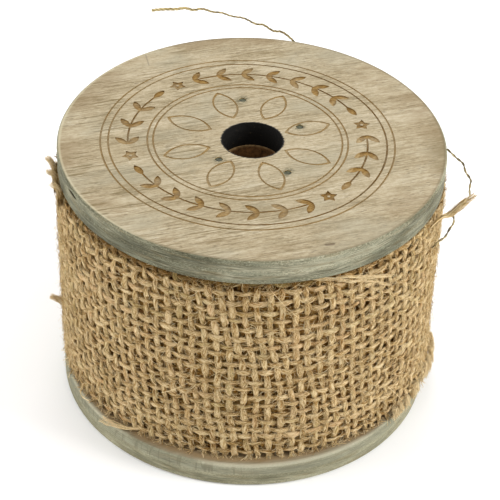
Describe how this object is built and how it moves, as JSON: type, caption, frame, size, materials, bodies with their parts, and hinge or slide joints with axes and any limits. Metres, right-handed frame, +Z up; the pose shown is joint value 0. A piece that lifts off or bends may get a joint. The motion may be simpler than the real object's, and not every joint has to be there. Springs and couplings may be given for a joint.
{
  "type": "ribbon spool",
  "caption": "Wooden spool with two round plywood flanges and a full roll of woven hessian ribbon that has a loose end.",
  "frame": {"origin": "on the spool's axis, on the surface that the spool stands on", "axes": "+Z up along the spool's axis, -Y towards the front; the ribbon's cut end lies at the back"},
  "size_m": [0.085, 0.0885, 0.0688],
  "materials": {
    "grey_washed_plywood": "raw sanded plywood with a thin grey wash, greyer on its edges, laser-burnt lines",
    "turned_softwood": "raw turned softwood, browned in the bore",
    "brad_steel": "dull and darkened by rust",
    "staple_steel": "galvanised wire",
    "jute_hessian": "unbleached jute in an open plain weave, hairy and matt"
  },
  "bodies": {
    "spool": {"top_flange": "grey_washed_plywood", "bottom_flange": "grey_washed_plywood", "core": "turned_softwood", "top_brad_1": "brad_steel", "top_brad_2": "brad_steel", "top_brad_3": "brad_steel", "top_brad_4": "brad_steel", "bottom_brad_1": "brad_steel", "bottom_brad_2": "brad_steel", "bottom_brad_3": "brad_steel", "bottom_brad_4": "brad_steel", "inner_end_staple_1": "staple_steel", "inner_end_staple_2": "staple_steel", "ribbon_inner_turns": "jute_hessian", "ribbon_outer_turn": "jute_hessian", "loose_yarn": "jute_hessian"},
    "ribbon_end": {"ribbon_loose_end": "jute_hessian"}
  },
  "joints": [
    {"name": "ribbon_end_lift", "type": "hinge", "parent": "spool", "child": "ribbon_end", "pos_m": [0.00939, 0.04131, 0.0314], "axis": [0, 0, -1], "range_deg": [0, 80]}
  ]
}
